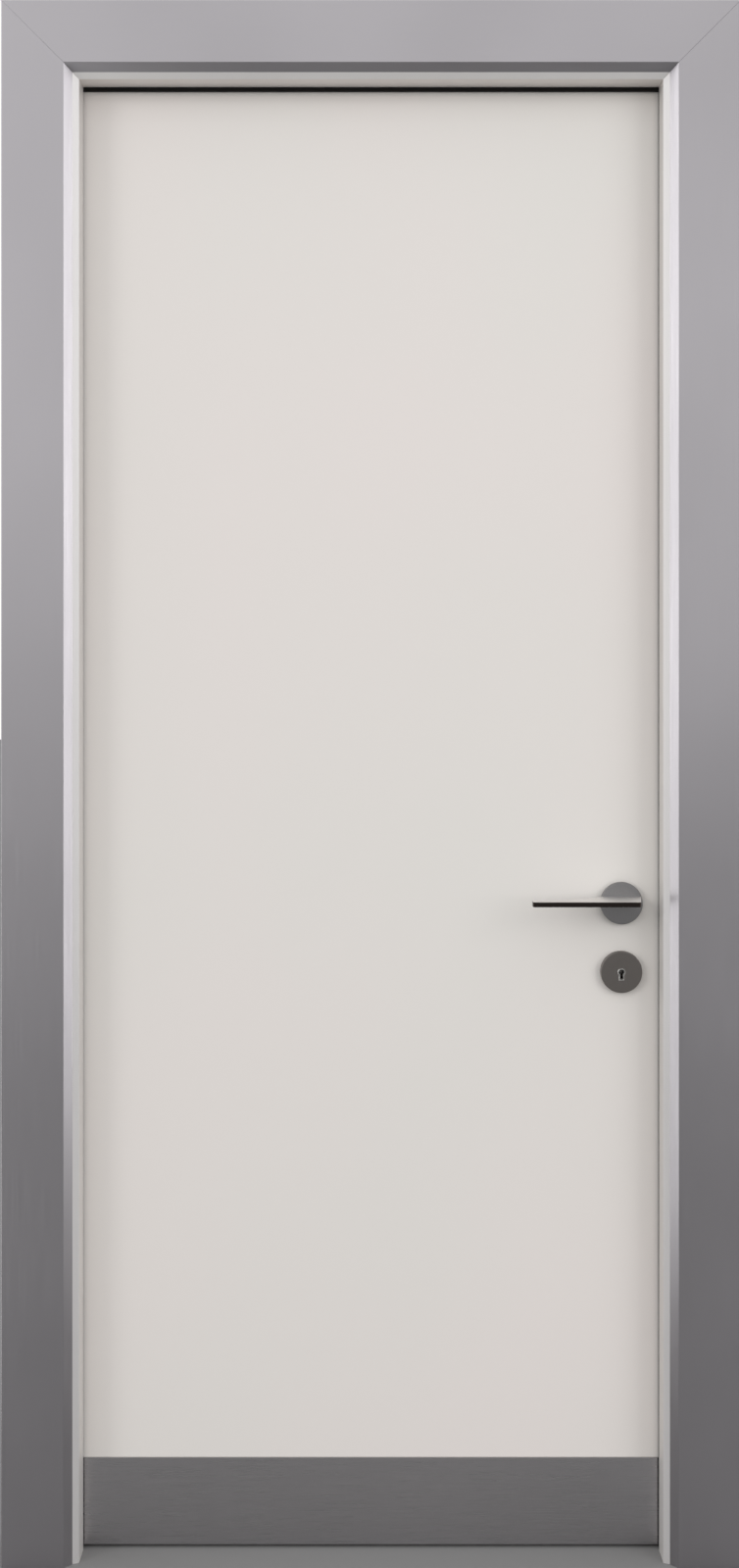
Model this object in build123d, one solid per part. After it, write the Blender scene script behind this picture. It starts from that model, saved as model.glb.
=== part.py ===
from build123d import *
import os

os.makedirs("parts", exist_ok=True)

# A single-leaf hospital door in its frame, in millimetres.
# +Z is up, +X runs from the hinges to the latch, and +Y is the way the leaf opens.
# The origin is at floor level on the outer face of the hinge jamb, midway through the wall.

# Doorway and wall
clear_width = 794.0  # between the two side stops
clear_height = 2017.0  # from the floor to the head stop
wall_thickness = 75.0

# Frame lining: the bars that line the opening, with a stop and a rebate for the leaf
lining_width = 43.0  # from the stop's face out to the wall
leaf_lap = 12.0  # how far the leaf hides behind the stop
leaf_gap = 5.5  # from the leaf's edge to the rebate
floor_gap = 5.0
nib_width = 4.5  # the rebate's back edge, beside the back casing

# Casings: the flat trims that cover the joint with the wall
casing_thickness = 12.5
casing_overlap = 60.0  # over the wall, beyond the lining
face_chamfer = 10.5
lip_width = 8.5  # the shallow slope between the chamfer and the stop
lip_slope = 3.5
casing_return = 3.0  # how far the front casing turns into the opening
casing_seat = 1.0  # the back casing's step onto the lining

# Gasket on the stop
gasket_space = 5.0  # from the stop's back to the leaf
gasket_clearance = 0.3  # from the gasket to the leaf
gasket_width = 11.5
gasket_show_side = 1.5  # how far the side gaskets stand into the opening
gasket_show_head = 5.0

# Leaf
leaf_thickness = 45.0
skin_thickness = 1.5
lipping_thickness = 8.0
edge_bevel = 2.0  # the latch edge leans back by this much over the thickness
kick_height = 120.0
kick_joint = 0.5  # the groove between a kick plate and the skin above it

# Hinges
hinge_height = 100.0
flap_thickness = 3.0
flap_width = 32.0
knuckle_radius = 7.0
knuckle_proud = 1.0  # from the back casing's face to the knuckle
knuckle_gap = 0.3
pin_radius = 4.0
pin_clearance = 0.05
pin_cap_radius = 6.0
pin_cap_height = 3.0
top_hinge_drop = 200.0  # from the leaf's top to the top hinge's centre
bottom_hinge_rise = 230.0

# Lock and handle places
spindle_height = 892.0
backset = 64.0  # from the leaf's latch edge to the spindle
keyhole_drop = 95.0  # from the spindle down to the keyhole

# Lever
spindle_side = 8.0
hub_radius = 8.0
hub_clearance = 0.05
hub_reach = 4.0  # how far the hub enters the leaf
hub_bore_clearance = 1.0
rose_radius = 25.5
rose_thickness = 3.0
disc_radius = 29.0
disc_gap = 0.3
disc_thickness = 6.2
disc_fillet = 0.8
blade_thickness = 6.8
blade_rise = 6.0  # from the spindle's axis up to the blade's middle
blade_reach = 64.0  # from the leaf's face to the blade's front edge
blade_length = 127.0  # from the spindle's axis to the free end
blade_heel = 19.0  # past the spindle's axis, on the latch side
blade_tip_depth = 18.0
blade_mid_depth = 27.0
blade_root_half = 27.0
blade_corner = 4.0
blade_fillet = 0.7

# Keyhole escutcheon
escutcheon_radius = 28.5
escutcheon_thickness = 9.0
escutcheon_fillet = 1.0
keyhole_radius = 3.6
keyhole_slot_width = 3.6
keyhole_slot_drop = 9.5
key_bore_radius = 9.0  # the passage through the leaf behind the keyhole

# Mortise lock
faceplate_height = 235.0
faceplate_width = 20.0
faceplate_thickness = 3.0
faceplate_top = 85.0  # above the spindle
case_depth = 88.0
case_thickness = 16.0
case_clearance = 0.5
case_top = 68.0  # above the spindle
case_bottom = 133.0  # below the spindle
follower_radius = 6.5
key_recess = 6.0
latch_height = 22.0
latch_width = 12.0
latch_drop = 4.0  # below the spindle
bolt_height = 34.0
bolt_width = 10.0
bolt_drop = 55.0
bolt_length = 24.0
bolt_clearance = 0.25

# Strike plate
strike_height = 140.0
strike_width = 32.0
strike_thickness = 2.0
strike_top = 32.0  # above the spindle
strike_hole_margin = 2.0
strike_pocket = 14.0

# Fixing holes through the jambs
fixing_radius = 4.0
fixing_middle = 1025.0
fixing_outer_spacing = 1350.0
fixing_inner_spacing = 650.0
fixing_setback = 17.0  # from the leaf's front face plane

# Places worked out from the sizes above
stop_left = lining_width
stop_right = lining_width + clear_width
back_face = wall_thickness / 2 + casing_thickness
front_face = -back_face
leaf_back = back_face
leaf_front = leaf_back - leaf_thickness
stop_back = leaf_front - gasket_space
lip_start = front_face + face_chamfer
lip_end = lip_start + lip_slope
casing_joint = lip_end + casing_return
back_seat = wall_thickness / 2 - casing_seat
rebate_offset = leaf_lap + leaf_gap
rebate_left = stop_left - rebate_offset
leaf_left = stop_left - leaf_lap
leaf_right = stop_right + leaf_lap
leaf_bottom = floor_gap
leaf_top = clear_height + leaf_lap
kick_top = leaf_bottom + kick_height
spindle_x = leaf_right - backset
keyhole_height = spindle_height - keyhole_drop
hinge_x = rebate_left + leaf_gap / 2
hinge_y = back_face + knuckle_proud + knuckle_radius
leaf_middle = (leaf_front + leaf_back) / 2
disc_face = leaf_front - rose_thickness - disc_gap - disc_thickness
blade_front = leaf_front - blade_reach
blade_height = spindle_height + blade_rise


def span_box(x0, x1, y0, y1, z0, z1):
    """A box between two corners."""
    return Pos(x0, y0, z0) * Box(x1 - x0, y1 - y0, z1 - z0, align=(Align.MIN, Align.MIN, Align.MIN))


def upright(points, z0, z1):
    """A plan outline drawn up from z0 to z1."""
    return Pos(0, 0, z0) * extrude(Polygon(*points, align=None), z1 - z0, dir=(0, 0, 1))


def rod_y(x, z, radius, y0, y1):
    """A round bar along Y."""
    return extrude(Plane((x, y0, z), x_dir=(1, 0, 0), z_dir=(0, 1, 0)) * Circle(radius), y1 - y0)


def rod_z(x, y, radius, z0, z1):
    """A round bar along Z."""
    return Pos(x, y, z0) * extrude(Circle(radius), z1 - z0)


# Frame members. A profile is a list of (u, y), where u is measured outwards from the stop's face.
lining_profile = [
    (0, casing_joint),
    (0, stop_back),
    (rebate_offset, stop_back),
    (rebate_offset, back_face),
    (rebate_offset + nib_width, back_face),
    (rebate_offset + nib_width, back_seat),
    (lining_width, back_seat),
    (lining_width, casing_joint),
]
front_profile = [
    (0, casing_joint),
    (0, lip_end),
    (lip_width, lip_start),
    (lip_width + face_chamfer, front_face),
    (lining_width + casing_overlap, front_face),
    (lining_width + casing_overlap, -wall_thickness / 2),
    (lining_width, -wall_thickness / 2),
    (lining_width, casing_joint),
]
back_profile = [
    (rebate_offset + nib_width, back_seat),
    (rebate_offset + nib_width, back_face),
    (lining_width + casing_overlap, back_face),
    (lining_width + casing_overlap, wall_thickness / 2),
    (lining_width, wall_thickness / 2),
    (lining_width, back_seat),
]

left_mitre = Plane((stop_left, 0, clear_height), x_dir=(0, 1, 0), z_dir=(1, 0, 1))
right_mitre = Plane((stop_right, 0, clear_height), x_dir=(0, 1, 0), z_dir=(-1, 0, 1))


def left_member(profile):
    """The hinge side's length of a profile, mitred at the top."""
    top = clear_height + max(u for u, y in profile)
    bar = upright([(stop_left - u, y) for u, y in profile], 0, top)
    return split(bar, bisect_by=left_mitre, keep=Keep.BOTTOM)


def right_member(profile):
    """The latch side's length of a profile, mitred at the top."""
    top = clear_height + max(u for u, y in profile)
    bar = upright([(stop_right + u, y) for u, y in profile], 0, top)
    return split(bar, bisect_by=right_mitre, keep=Keep.BOTTOM)


def head_member(profile):
    """The length of a profile over the doorway, mitred at both ends."""
    reach = max(u for u, y in profile)
    section = Polygon(*[(y, clear_height + u) for u, y in profile], align=None)
    plane = Plane((stop_left - reach, 0, 0), x_dir=(0, 1, 0), z_dir=(1, 0, 0))
    bar = extrude(plane * section, clear_width + 2 * reach, dir=(1, 0, 0))
    bar = split(bar, bisect_by=left_mitre, keep=Keep.TOP)
    return split(bar, bisect_by=right_mitre, keep=Keep.TOP)


# Gaskets
def gasket_strips():
    """The two side gaskets and the head gasket, on the back of the stops."""
    y0 = stop_back
    y1 = leaf_front - gasket_clearance
    under = clear_height - gasket_show_head
    left_edge = stop_left + gasket_show_side
    right_edge = stop_right - gasket_show_side
    left = span_box(left_edge - gasket_width, left_edge, y0, y1, 0, under)
    right = span_box(right_edge, right_edge + gasket_width, y0, y1, 0, under)
    over_left = left_edge - gasket_width
    over_right = right_edge + gasket_width
    head = span_box(over_left, over_right, y0, y1, under, under + gasket_width + gasket_show_head)
    return left, right, head


# Hinges
hinge_centres = {
    "top": leaf_top - top_hinge_drop,
    "middle": (leaf_top - top_hinge_drop + leaf_bottom + bottom_hinge_rise) / 2,
    "bottom": leaf_bottom + bottom_hinge_rise,
}
knuckle_height = hinge_height / 3


def hinge_spans(centre):
    """The three knuckles' heights, from the bottom up, with the running gap between them."""
    base = centre - hinge_height / 2
    half = knuckle_gap / 2
    return [
        (base, base + knuckle_height - half),
        (base + knuckle_height + half, base + 2 * knuckle_height - half),
        (base + 2 * knuckle_height + half, base + hinge_height),
    ]


def flap_recess(x_face, into, centre):
    """The shallow pocket that a hinge flap fills, in the frame or in the leaf's edge."""
    x0 = min(x_face, x_face + into * flap_thickness)
    z0 = centre - hinge_height / 2
    return span_box(x0, x0 + flap_thickness, leaf_back - flap_width, leaf_back, z0, z0 + hinge_height)


def hinge_flap(x_face, into, centre, knuckles):
    """A flap with its own knuckles round the pin, bored for the pin."""
    flap = flap_recess(x_face, into, centre)
    x0 = min(x_face, x_face + into * flap_thickness)
    for z0, z1 in knuckles:
        flap += span_box(x0, x0 + flap_thickness, leaf_back, hinge_y, z0, z1)
        flap += rod_z(hinge_x, hinge_y, knuckle_radius, z0, z1)
    z0 = centre - hinge_height / 2
    bore = rod_z(hinge_x, hinge_y, pin_radius + pin_clearance, z0, z0 + hinge_height)
    return flap - bore


def hinge_pin(centre):
    """The pin, with a cap at each end that rests on the frame flap's knuckles."""
    z0 = centre - hinge_height / 2
    z1 = z0 + hinge_height
    pin = rod_z(hinge_x, hinge_y, pin_radius, z0, z1)
    pin += rod_z(hinge_x, hinge_y, pin_cap_radius, z1, z1 + pin_cap_height)
    pin += rod_z(hinge_x, hinge_y, pin_cap_radius, z0 - pin_cap_height, z0)
    return pin


# Leaf
def edge_x(y):
    """The latch edge's place at a depth y, as it leans with the bevel."""
    return leaf_right - edge_bevel * (leaf_back - y) / leaf_thickness


def leaf_layer(x0, inset, y0, y1, z0, z1):
    """A block of the leaf from x0 to the bevelled latch edge, or short of it by inset."""
    outline = [(x0, y0), (edge_x(y0) - inset, y0), (edge_x(y1) - inset, y1), (x0, y1)]
    return upright(outline, z0, z1)


def edge_strip(thickness, inset, y0, y1, z0, z1):
    """A strip that follows the bevelled latch edge."""
    outer0 = edge_x(y0) - inset
    outer1 = edge_x(y1) - inset
    outline = [(outer0 - thickness, y0), (outer0, y0), (outer1, y1), (outer1 - thickness, y1)]
    return upright(outline, z0, z1)


def lock_case_block(grow):
    """The lock case's outer shape, grown all round for the pocket that holds it."""
    y0 = leaf_middle - case_thickness / 2 - grow
    y1 = leaf_middle + case_thickness / 2 + grow
    x0 = edge_x(leaf_middle) - faceplate_thickness - case_depth - grow
    z0 = spindle_height - case_bottom - grow
    z1 = spindle_height + case_top + grow
    return leaf_layer(x0, faceplate_thickness, y0, y1, z0, z1)


def bolt_block(height, width, drop, grow):
    """A bolt's shape, flush with the leaf's edge, grown at its sides for its slot."""
    y0 = leaf_middle - width / 2 - grow
    y1 = leaf_middle + width / 2 + grow
    z0 = spindle_height - drop - height / 2 - grow
    z1 = spindle_height - drop + height / 2 + grow
    return leaf_layer(edge_x(leaf_middle) - bolt_length, 0, y0, y1, z0, z1)


def keyhole(y0, y1):
    """A keyhole through a plate: a round top with a slot below it."""
    top = rod_y(spindle_x, keyhole_height, keyhole_radius, y0, y1)
    half = keyhole_slot_width / 2
    slot = span_box(
        spindle_x - half, spindle_x + half, y0, y1, keyhole_height - keyhole_slot_drop, keyhole_height
    )
    return top + slot


hub_bore = rod_y(
    spindle_x, spindle_height, hub_radius + hub_bore_clearance, leaf_front, leaf_back
)
key_bore = rod_y(
    spindle_x,
    keyhole_height - keyhole_slot_drop / 2,
    key_bore_radius,
    leaf_front,
    leaf_back,
)
latch_slot = bolt_block(latch_height, latch_width, latch_drop, bolt_clearance)
bolt_slot = bolt_block(bolt_height, bolt_width, bolt_drop, bolt_clearance)
faceplate_block = edge_strip(
    faceplate_thickness,
    0,
    leaf_middle - faceplate_width / 2,
    leaf_middle + faceplate_width / 2,
    spindle_height + faceplate_top - faceplate_height,
    spindle_height + faceplate_top,
)
skin_inner_front = leaf_front + skin_thickness
skin_inner_back = leaf_back - skin_thickness


def core():
    """The leaf's core, with the lock's pocket and the bores for spindle and key."""
    block = leaf_layer(
        leaf_left + lipping_thickness,
        lipping_thickness,
        skin_inner_front,
        skin_inner_back,
        leaf_bottom + lipping_thickness,
        leaf_top - lipping_thickness,
    )
    return block - lock_case_block(case_clearance) - hub_bore - key_bore


def skin(y0, y1):
    """A laminate face above the kick plate, bored for spindle and key."""
    sheet = leaf_layer(leaf_left, 0, y0, y1, kick_top + kick_joint, leaf_top)
    for centre in hinge_centres.values():
        sheet -= flap_recess(leaf_left, 1, centre)
    return sheet - hub_bore - key_bore


def kick_plate(y0, y1):
    """A steel plate set flush across the foot of the leaf."""
    return leaf_layer(leaf_left, 0, y0, y1, leaf_bottom, kick_top)


def hinge_lipping():
    """The solid strip that the hinge flaps are let into."""
    strip = span_box(
        leaf_left,
        leaf_left + lipping_thickness,
        skin_inner_front,
        skin_inner_back,
        leaf_bottom,
        leaf_top,
    )
    for centre in hinge_centres.values():
        strip -= flap_recess(leaf_left, 1, centre)
    return strip


def latch_lipping():
    """The solid strip that the lock's faceplate is let into."""
    strip = edge_strip(lipping_thickness, 0, skin_inner_front, skin_inner_back, leaf_bottom, leaf_top)
    return strip - faceplate_block - lock_case_block(case_clearance)


def cross_lipping(z0):
    """The strip along the leaf's top or bottom, between the upright ones."""
    return leaf_layer(
        leaf_left + lipping_thickness,
        lipping_thickness,
        skin_inner_front,
        skin_inner_back,
        z0,
        z0 + lipping_thickness,
    )


# Lock
def lock_case():
    """The lock's case, with slots for its bolts, the spindle's bore and a key recess each side."""
    case = lock_case_block(0) - latch_slot - bolt_slot
    y0 = leaf_middle - case_thickness / 2
    y1 = leaf_middle + case_thickness / 2
    case -= rod_y(spindle_x, spindle_height, follower_radius, y0, y1)
    case -= keyhole(y0, y0 + key_recess)
    return case - keyhole(y1 - key_recess, y1)


def escutcheon():
    """The front keyhole disc, with a softened rim."""
    disc = rod_y(
        spindle_x, keyhole_height, escutcheon_radius, leaf_front - escutcheon_thickness, leaf_front
    )
    rim = disc.edges().sort_by(Axis.Y)[0]
    disc = fillet(rim, escutcheon_fillet)
    return disc - keyhole(leaf_front - escutcheon_thickness, leaf_front)


def strike_blocks():
    """The strike plate's outer shape and the two slots through it."""
    x0 = stop_right + rebate_offset
    y0 = leaf_middle - strike_width / 2
    z1 = spindle_height + strike_top
    plate = span_box(x0, x0 + strike_thickness, y0, y0 + strike_width, z1 - strike_height, z1)
    slots = []
    for height, width, drop in (
        (latch_height, latch_width, latch_drop),
        (bolt_height, bolt_width, bolt_drop),
    ):
        half_y = width / 2 + strike_hole_margin
        half_z = height / 2 + strike_hole_margin
        z = spindle_height - drop
        slots.append(
            span_box(
                x0, x0 + strike_pocket, leaf_middle - half_y, leaf_middle + half_y, z - half_z, z + half_z
            )
        )
    return plate, slots


# Lever
def rose():
    """The fixed ring that the front lever's hub turns in."""
    ring = rod_y(spindle_x, spindle_height, rose_radius, leaf_front - rose_thickness, leaf_front)
    bore = rod_y(
        spindle_x, spindle_height, hub_radius + hub_clearance, leaf_front - rose_thickness, leaf_front
    )
    return ring - bore


def lever():
    """The front lever: a round cover, its hub, and a flat blade that turns towards the hinges."""
    disc = rod_y(spindle_x, spindle_height, disc_radius, disc_face, disc_face + disc_thickness)
    disc = fillet(disc.edges().sort_by(Axis.Y)[0], disc_fillet)
    hub = rod_y(
        spindle_x, spindle_height, hub_radius, disc_face + disc_thickness, leaf_front + hub_reach
    )
    tip = spindle_x - blade_length
    heel = spindle_x + blade_heel
    root_left = spindle_x - blade_root_half
    root_right = spindle_x + blade_root_half
    inner = disc_face + disc_thickness / 2
    middle = (tip + root_left) / 2
    back_edge = ThreePointArc(
        (root_left, disc_face), (middle, blade_front + blade_mid_depth), (tip, blade_front + blade_tip_depth)
    )
    rest = Polyline(
        (tip, blade_front + blade_tip_depth),
        (tip, blade_front),
        (heel, blade_front),
        (root_right, disc_face),
        (root_right, inner),
        (root_left, inner),
        (root_left, disc_face),
    )
    outline = make_face(back_edge + rest)
    corners = outline.vertices().sort_by(Axis.Y)[:3]
    outline = fillet(corners, blade_corner)
    blade = extrude(outline, blade_thickness, dir=(0, 0, 1))
    blade = Pos(0, 0, blade_height - blade_thickness / 2) * blade
    flats = blade.faces().sort_by(Axis.Z)
    blade = fillet(flats[0].edges() + flats[-1].edges(), blade_fillet)
    body = disc + hub + blade
    return body - spindle()


def spindle():
    """The square bar that joins the two levers through the leaf."""
    half = spindle_side / 2
    reach = rose_thickness + disc_gap + disc_thickness / 2
    return span_box(
        spindle_x - half,
        spindle_x + half,
        leaf_front - reach,
        leaf_back + reach,
        spindle_height - half,
        spindle_height + half,
    )


def to_back(piece):
    """The back side's copy of a front piece, mirrored through the leaf's middle."""
    return mirror(piece, about=Plane((0, leaf_middle, 0), x_dir=(1, 0, 0), z_dir=(0, 1, 0)))


def fixing_holes(x0, x1):
    """The four holes that screws go through into the wall, hidden by the closed leaf."""
    y = leaf_front + fixing_setback
    holes = []
    for spacing in (fixing_outer_spacing, fixing_inner_spacing):
        for z in (fixing_middle - spacing / 2, fixing_middle + spacing / 2):
            plane = Plane((x0, y, z), x_dir=(0, 1, 0), z_dir=(1, 0, 0))
            holes.append(extrude(plane * Circle(fixing_radius), x1 - x0))
    return holes


# Assembly
nodes = {}

hinge_jamb = left_member(lining_profile)
for centre in hinge_centres.values():
    hinge_jamb -= flap_recess(rebate_left, -1, centre)
for hole in fixing_holes(0, rebate_left):
    hinge_jamb -= hole
nodes["hinge_jamb"] = hinge_jamb

strike, strike_slots = strike_blocks()
latch_jamb = right_member(lining_profile) - strike
for slot in strike_slots:
    latch_jamb -= slot
    strike -= slot
for hole in fixing_holes(stop_right + rebate_offset, stop_right + lining_width):
    latch_jamb -= hole
nodes["latch_jamb"] = latch_jamb
nodes["strike_plate"] = strike

nodes["head_lining"] = head_member(lining_profile)
for side, profile in (("front", front_profile), ("back", back_profile)):
    nodes[f"{side}_casing_left"] = left_member(profile)
    nodes[f"{side}_casing_right"] = right_member(profile)
    nodes[f"{side}_casing_head"] = head_member(profile)

nodes["gasket_left"], nodes["gasket_right"], nodes["gasket_head"] = gasket_strips()

for place, centre in hinge_centres.items():
    low, mid, high = hinge_spans(centre)
    nodes[f"{place}_hinge_frame_flap"] = hinge_flap(rebate_left, -1, centre, [low, high])
    nodes[f"{place}_hinge_leaf_flap"] = hinge_flap(leaf_left, 1, centre, [mid])
    nodes[f"{place}_hinge_pin"] = hinge_pin(centre)

nodes["leaf_core"] = core()
nodes["front_skin"] = skin(leaf_front, skin_inner_front)
nodes["back_skin"] = skin(skin_inner_back, leaf_back)
nodes["front_kick_plate"] = kick_plate(leaf_front, skin_inner_front)
nodes["back_kick_plate"] = kick_plate(skin_inner_back, leaf_back)
nodes["hinge_lipping"] = hinge_lipping()
nodes["latch_lipping"] = latch_lipping()
nodes["top_lipping"] = cross_lipping(leaf_top - lipping_thickness)
nodes["bottom_lipping"] = cross_lipping(leaf_bottom)

nodes["lock_case"] = lock_case()
nodes["lock_faceplate"] = faceplate_block - latch_slot - bolt_slot
nodes["latch_bolt"] = bolt_block(latch_height, latch_width, latch_drop, 0)
nodes["dead_bolt"] = bolt_block(bolt_height, bolt_width, bolt_drop, 0)
nodes["front_rose"] = rose()
nodes["back_rose"] = to_back(rose())
nodes["front_escutcheon"] = escutcheon()
nodes["back_escutcheon"] = to_back(escutcheon())

nodes["front_lever"] = lever()
nodes["back_lever"] = to_back(lever())
nodes["spindle"] = spindle()

for name, shape in nodes.items():
    export_step(shape, f"parts/{name}.step")

print("nodes", len(nodes))
print("overall width", clear_width + 2 * (lining_width + casing_overlap))
print("overall height", clear_height + lining_width + casing_overlap)
print("leaf", leaf_right - leaf_left, leaf_top - leaf_bottom, leaf_thickness)
print("hinge axis at", hinge_x, hinge_y, "spindle at", spindle_x, spindle_height)
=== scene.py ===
# %% [markdown]
# A hospital door in its metal frame
#
# The construction is already made and packed: every bar, hinge and lock part has its real size
# and place. This lesson dresses it. Each step takes one finish or one piece of the real door,
# says what it is, and makes it in the same frame: metres, +Z up, +X from the hinges to the latch,
# +Y away from the camera, which is the way the leaf opens.

import math

import bmesh
import bpy
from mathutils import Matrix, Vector


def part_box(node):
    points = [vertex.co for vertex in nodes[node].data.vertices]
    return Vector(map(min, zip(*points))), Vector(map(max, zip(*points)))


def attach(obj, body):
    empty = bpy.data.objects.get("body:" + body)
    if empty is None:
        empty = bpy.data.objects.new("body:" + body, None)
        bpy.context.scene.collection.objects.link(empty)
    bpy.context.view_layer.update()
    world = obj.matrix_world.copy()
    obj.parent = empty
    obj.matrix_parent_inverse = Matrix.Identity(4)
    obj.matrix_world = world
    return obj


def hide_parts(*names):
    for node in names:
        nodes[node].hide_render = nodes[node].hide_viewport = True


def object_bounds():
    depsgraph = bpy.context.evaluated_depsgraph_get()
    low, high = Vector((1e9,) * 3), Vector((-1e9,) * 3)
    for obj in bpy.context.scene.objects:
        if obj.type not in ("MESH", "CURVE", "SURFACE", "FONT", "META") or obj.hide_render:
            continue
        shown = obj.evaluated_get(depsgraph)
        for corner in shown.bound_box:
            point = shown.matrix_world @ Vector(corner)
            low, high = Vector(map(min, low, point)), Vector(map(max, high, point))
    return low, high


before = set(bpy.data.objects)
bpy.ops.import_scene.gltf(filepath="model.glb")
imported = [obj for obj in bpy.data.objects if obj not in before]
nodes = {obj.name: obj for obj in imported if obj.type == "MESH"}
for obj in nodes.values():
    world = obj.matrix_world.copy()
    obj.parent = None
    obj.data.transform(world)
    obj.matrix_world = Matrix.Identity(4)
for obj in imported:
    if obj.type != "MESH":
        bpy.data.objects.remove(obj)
cad_low, cad_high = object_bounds()
scene = bpy.context.scene
MM = 0.001
X, Y, Z = 0, 1, 2
print("box", [round(v, 4) for v in cad_low], [round(v, 4) for v in cad_high])

# %% [markdown]
# The places that everything else is measured from
#
# A piece of the picture has to sit where its construction sits, so the places come from the
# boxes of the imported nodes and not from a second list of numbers.

# %% Places from the nodes
def middle_of(node, axis):
    """The middle of a node's box along an axis."""
    low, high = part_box(node)
    return (low[axis] + high[axis]) / 2


leaf_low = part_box("front_skin")[0]
leaf_face = leaf_low[Y]
leaf_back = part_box("back_skin")[1][Y]
leaf_middle = (leaf_face + leaf_back) / 2
spindle_x = middle_of("spindle", X)
spindle_z = middle_of("spindle", Z)
key_z = middle_of("front_escutcheon", Z)
casing_low, casing_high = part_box("front_casing_left")
casing_face = casing_low[Y]
stop_left = casing_high[X]
stop_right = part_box("front_casing_right")[0][X]
stop_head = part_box("front_casing_head")[0][Z]
middle_x = (cad_low[X] + cad_high[X]) / 2
print("leaf face", round(leaf_face, 4), "spindle", round(spindle_x, 4), round(spindle_z, 4))

# %% [markdown]
# The camera
#
# The photograph was taken square to the door, with the lens a little above the middle of the
# door's height and the back of the camera upright: all upright edges stay parallel. A camera
# tilted down would make them lean, so this one looks level and its lens is shifted instead.

# %% Camera
camera_distance = 2.446
camera_height = 1.257
film_height = 36.0
lens = 41.55
horizon_shift = -0.0929
side_shift = -0.00103

camera_data = bpy.data.cameras.new("door_camera")
camera_data.sensor_fit = "VERTICAL"
camera_data.sensor_height = film_height
camera_data.lens = lens
camera_data.shift_y = horizon_shift
camera_data.shift_x = side_shift
camera = bpy.data.objects.new("door_camera", camera_data)
camera.location = (middle_x, casing_face - camera_distance, camera_height)
camera.rotation_euler = (math.radians(90), 0, 0)
scene.collection.objects.link(camera)
scene.camera = camera
scene.view_settings.view_transform = "Standard"
print("camera at", [round(v, 3) for v in camera.location])

# %% [markdown]
# The floor around the door
#
# Metal shows what is around it, so the surroundings decide how the frame looks. The lower half
# of the frame mirrors the floor. A matt floor of a plain mid grey, darker than the air above it,
# is what makes the frame go darker towards the ground.

# %% Floor
floor_size = 40.0
floor_tone = (0.237, 0.233, 0.230)
floor_roughness = 0.9
floor_gloss = 0.1


def new_piece(name, mesh):
    """An object at the origin that holds a mesh."""
    piece = bpy.data.objects.new(name, mesh)
    scene.collection.objects.link(piece)
    return piece


def make_floor():
    """A wide square of floor under the door."""
    half = floor_size / 2
    corners = [(-half, -half, 0), (half, -half, 0), (half, half, 0), (-half, half, 0)]
    mesh = bpy.data.meshes.new("floor")
    mesh.from_pydata(corners, [], [(0, 1, 2, 3)])
    material = bpy.data.materials.new("floor_paint")
    material.use_nodes = True
    shader = material.node_tree.nodes["Principled BSDF"]
    shader.inputs["Base Color"].default_value = (*floor_tone, 1)
    shader.inputs["Roughness"].default_value = floor_roughness
    shader.inputs["Specular IOR Level"].default_value = floor_gloss
    mesh.materials.append(material)
    floor = new_piece("floor", mesh)


make_floor()
print("floor", floor_size, "m wide")

# %% [markdown]
# The air around the door
#
# The air is plain white where it is seen directly, in a reflection or through glass. As light on
# the door it is a touch cooler and a little stronger, like an even overcast sky: it fills every
# side softly, and the lamps add the shape.

# %% Air
fill_colour = (0.96, 0.98, 1.0, 1)
fill_strength = 1.08
seen_colour = (1, 1, 1, 1)


def link(tree, start, end):
    """Joins two sockets of a node tree."""
    tree.links.new(start, end)


def node_of(tree, kind, **values):
    """A new node with its plain settings."""
    made = tree.nodes.new(kind)
    for name, value in values.items():
        setattr(made, name, value)
    return made


def make_air():
    """White to the eye and to mirrors, and the fill light for everything else."""
    world = bpy.data.worlds.new("air")
    world.use_nodes = True
    scene.world = world
    tree = world.node_tree
    tree.nodes.clear()
    path = node_of(tree, "ShaderNodeLightPath")
    seen = node_of(tree, "ShaderNodeMath", operation="MAXIMUM")
    link(tree, path.outputs["Is Camera Ray"], seen.inputs[0])
    link(tree, path.outputs["Is Glossy Ray"], seen.inputs[1])
    through = node_of(tree, "ShaderNodeMath", operation="MAXIMUM")
    link(tree, seen.outputs[0], through.inputs[0])
    link(tree, path.outputs["Is Transmission Ray"], through.inputs[1])
    fill = node_of(tree, "ShaderNodeBackground")
    fill.inputs["Color"].default_value = fill_colour
    fill.inputs["Strength"].default_value = fill_strength
    white = node_of(tree, "ShaderNodeBackground")
    white.inputs["Color"].default_value = seen_colour
    mix = node_of(tree, "ShaderNodeMixShader")
    link(tree, through.outputs[0], mix.inputs["Fac"])
    link(tree, fill.outputs[0], mix.inputs[1])
    link(tree, white.outputs[0], mix.inputs[2])
    out = node_of(tree, "ShaderNodeOutputWorld")
    link(tree, mix.outputs[0], out.inputs["Surface"])


make_air()
print("fill", fill_strength)

# %% [markdown]
# The lamps
#
# Two large lamps stand in front of the door, one to each side and both higher than its head, so
# the lever and the keyhole disc get soft shadows below them. Both are kept out of reflections,
# because a hot spot on the satin bars would hide their even gradient.

# %% Lamps in front
aim_height = 1.15
leaf_centre = Vector((middle_x, leaf_face, aim_height))
key_bearing = -50.0
key_rise = 18.0
key_distance = 8.0
key_size = 2.6
key_power = 100.0
side_bearing = 48.0
side_rise = 12.0
side_distance = 6.0
side_size = 3.4
side_power = 78.0


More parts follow.
